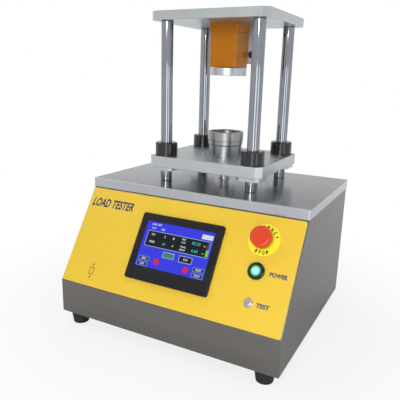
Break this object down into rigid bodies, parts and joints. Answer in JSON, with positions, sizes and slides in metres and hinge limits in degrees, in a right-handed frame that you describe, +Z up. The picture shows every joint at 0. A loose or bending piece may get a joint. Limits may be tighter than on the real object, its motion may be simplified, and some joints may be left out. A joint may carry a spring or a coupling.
{
  "type": "can axial load tester",
  "caption": "Bench tester that lifts a can on a platform guided by columns and presses it against a load head, with a sloped console, screen, stop button, push buttons and a mains inlet.",
  "frame": {"origin": "centre of the footprint's bounding box, on the floor the feet stand on", "axes": "+Z up along the columns; +X to the operator's right; +Y from the operator to the rear"},
  "size_m": [0.49, 0.427, 0.6465],
  "materials": {
    "anvil_alloy": "turned",
    "bearing_steel": "ground",
    "belt_rubber": "matte",
    "black_cap": "satin",
    "black_rubber": "matte",
    "black_screw": "satin",
    "body_steel": "brushed",
    "bronze": "turned",
    "button_steel": "polished",
    "chromed_shaft": "polished",
    "collar_grey": "satin",
    "console_alloy": "satin",
    "dark_bezel": "glossy",
    "grey_bracket": "satin",
    "inlet_black": "satin",
    "lens_green": "glossy",
    "motor_black": "satin",
    "orange_housing": "satin",
    "panel_steel": "satin",
    "plate_alloy": "satin",
    "ring_yellow": "satin",
    "screen_case": "satin",
    "screen_display": "glossy",
    "stop_red": "glossy",
    "supply_steel": "plated",
    "yellow_sheet": "satin",
    "zinc_screw": "plated"
  },
  "bodies": {
    "chassis": {"base_plate": "plate_alloy", "body_shell": "body_steel", "bottom_plate": "panel_steel", "button_nuts": "inlet_black", "column_front_left": "chromed_shaft", "column_front_right": "chromed_shaft", "column_rear_left": "chromed_shaft", "column_rear_right": "chromed_shaft", "column_screws": "black_screw", "console_plate": "console_alloy", "contact_blocks": "inlet_black", "controller": "panel_steel", "cover_screws": "zinc_screw", "crosshead_plate": "plate_alloy", "drive_motor": "motor_black", "foot_screws": "zinc_screw", "front_overlay": "yellow_sheet", "guide_block": "plate_alloy", "hanger_posts": "bearing_steel", "head_bracket": "grey_bracket", "head_screws": "black_screw", "lift_screws": "zinc_screw", "load_cell": "plate_alloy", "load_cell_cap": "orange_housing", "load_cell_housing": "orange_housing", "mains_inlet": "inlet_black", "motor_driver": "motor_black", "power_bezel": "dark_bezel", "power_supply": "supply_steel", "ram_bush": "bronze", "rear_panel": "panel_steel", "rubber_feet": "black_rubber", "screen_bezel": "screen_case", "screen_clamps": "zinc_screw", "screen_glass": "screen_display", "screen_housing": "screen_case", "stop_collar": "collar_grey", "stop_ring": "ring_yellow", "test_bezel": "button_steel", "thrust_bearing": "bearing_steel", "thrust_block": "plate_alloy", "timing_belt": "belt_rubber", "upper_platen": "plate_alloy"},
    "platform": {"moving_plate": "plate_alloy", "linear_bearings": "bearing_steel", "bearing_caps": "black_cap", "anvil_base": "anvil_alloy", "anvil_cup": "anvil_alloy", "platform_screws": "zinc_screw", "ram": "bearing_steel", "ball_nut": "bearing_steel"},
    "lift_screw": {"ball_screw": "bearing_steel", "screw_pulley": "plate_alloy"},
    "motor_rotor": {"motor_shaft": "bearing_steel", "motor_pulley": "plate_alloy"},
    "stop_plunger": {"stop_stem": "collar_grey"},
    "stop_knob": {"stop_head": "stop_red"},
    "power_plunger": {"power_lens": "lens_green"},
    "test_button": {"test_plunger": "button_steel"},
    "rocker": {"mains_rocker": "inlet_black"}
  },
  "joints": [
    {"name": "platform_lift", "type": "slide", "parent": "chassis", "child": "platform", "axis": [0, 0, 1], "range_m": [0, 0.08]},
    {"name": "screw_spin", "type": "hinge", "parent": "chassis", "child": "lift_screw", "pos_m": [0, 0.0595, 0.1], "axis": [0, 0, -1], "range_deg": [0, 2881]},
    {"name": "motor_spin", "type": "hinge", "parent": "chassis", "child": "motor_rotor", "pos_m": [0.125, 0.0595, 0.07], "axis": [0, 0, -1], "range_deg": [0, 5762]},
    {"name": "stop_push", "type": "slide", "parent": "chassis", "child": "stop_plunger", "axis": [0, 0.8409, -0.5412], "range_m": [0, 0.005]},
    {"name": "stop_twist", "type": "hinge", "parent": "stop_plunger", "child": "stop_knob", "pos_m": [0.1715, -0.12506, 0.23525], "axis": [0, 0.8409, -0.5412], "range_deg": [0, 45], "stiffness_Nm_per_rad": 0.05, "springref_deg": -11.46},
    {"name": "power_push", "type": "slide", "parent": "chassis", "child": "power_plunger", "axis": [0, 0.8409, -0.5412], "range_m": [0, 0.0028], "stiffness_N_per_m": 250, "springref_m": -0.002},
    {"name": "test_push", "type": "slide", "parent": "chassis", "child": "test_button", "axis": [0, 0.8409, -0.5412], "range_m": [0, 0.0016], "stiffness_N_per_m": 400, "springref_m": -0.002},
    {"name": "rocker_switch", "type": "hinge", "parent": "chassis", "child": "rocker", "pos_m": [-0.17, 0.2095, 0.108], "axis": [-1, 0, 0], "range_deg": [0, 14]}
  ],
  "couplings": [
    {"joint": "screw_spin", "follows": "platform_lift", "rad_per_m": 628.32},
    {"joint": "motor_spin", "follows": "platform_lift", "rad_per_m": 1256.6}
  ]
}
